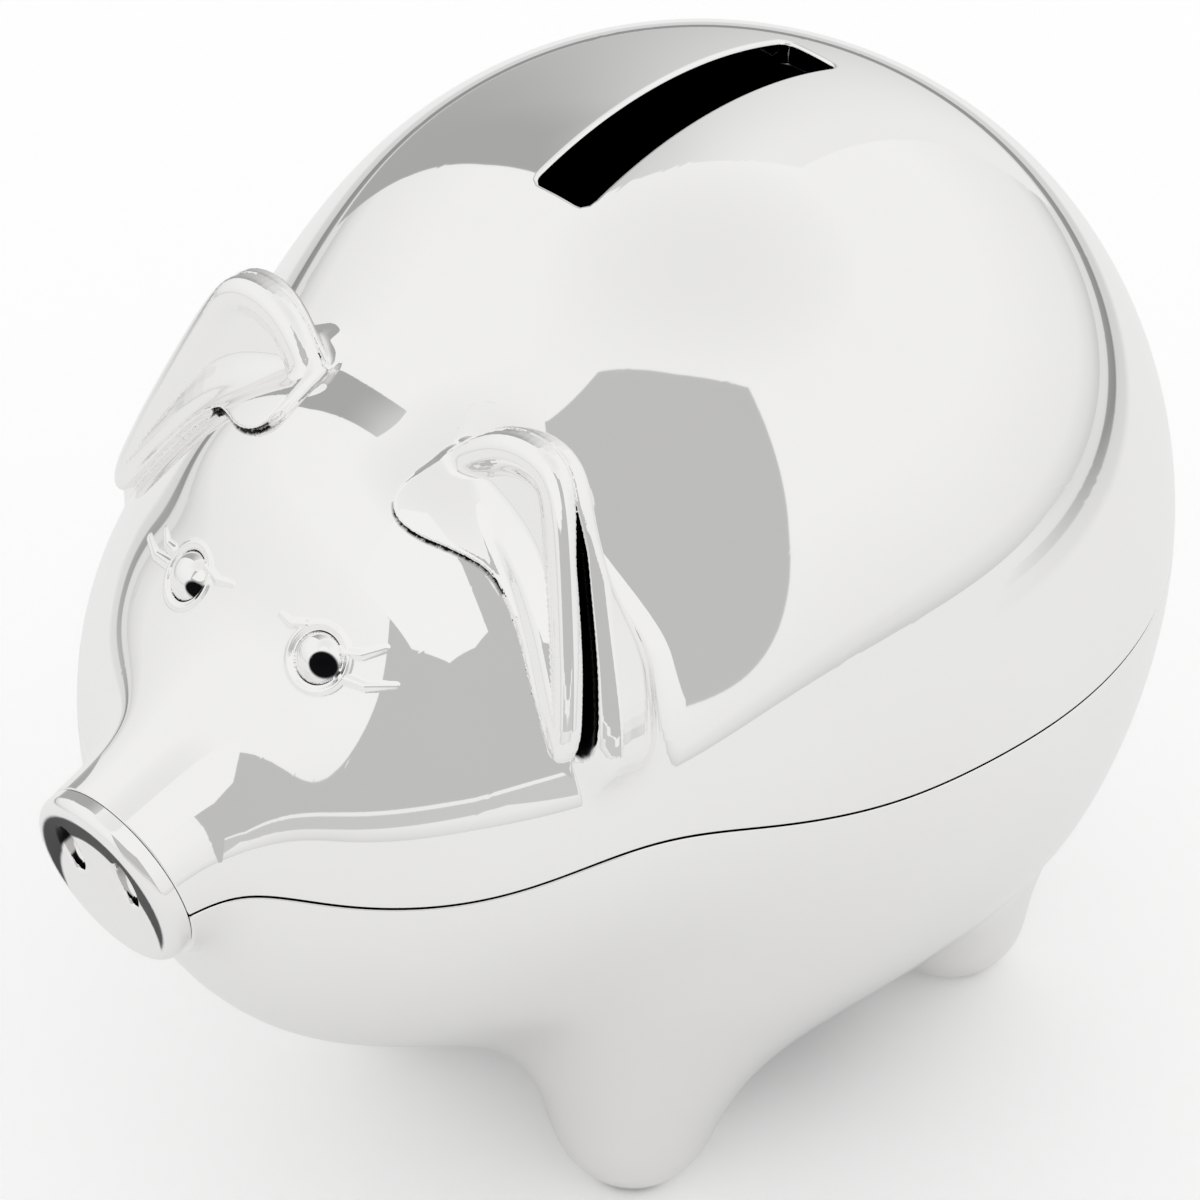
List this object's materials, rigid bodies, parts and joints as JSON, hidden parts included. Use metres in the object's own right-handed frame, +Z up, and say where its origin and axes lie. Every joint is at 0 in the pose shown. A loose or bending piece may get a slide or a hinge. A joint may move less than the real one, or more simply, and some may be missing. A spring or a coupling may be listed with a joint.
{
  "type": "money box",
  "caption": "Pig-shaped money box in polished silver plate, with a coin slot in its back and a rubber stopper in its belly.",
  "frame": {"origin": "on the floor under the middle of the whole length, snout to tail", "axes": "+Z up, the pig faces -Y, its left side is +X"},
  "size_m": [0.0904, 0.1267, 0.1047],
  "materials": {
    "silver_plate": "mirror-polished silver plate",
    "black_rubber": "moulded soft rubber",
    "steel": "zinc-plated screw"
  },
  "bodies": {
    "pig": {"upper_shell": "silver_plate", "lower_shell": "silver_plate", "snout_plate": "silver_plate", "ear_left": "silver_plate", "ear_right": "silver_plate", "eye_left": "silver_plate", "eye_right": "silver_plate", "tail": "silver_plate", "screw_front_left": "steel", "screw_front_right": "steel", "screw_rear_left": "steel", "screw_rear_right": "steel", "rubber_foot_front_left": "black_rubber", "rubber_foot_front_right": "black_rubber", "rubber_foot_rear_left": "black_rubber", "rubber_foot_rear_right": "black_rubber"},
    "stopper": {"belly_stopper": "black_rubber"}
  },
  "joints": [
    {"name": "stopper_pull", "type": "slide", "parent": "pig", "child": "stopper", "axis": [0, 0, -1], "range_m": [0, 0.007]}
  ]
}
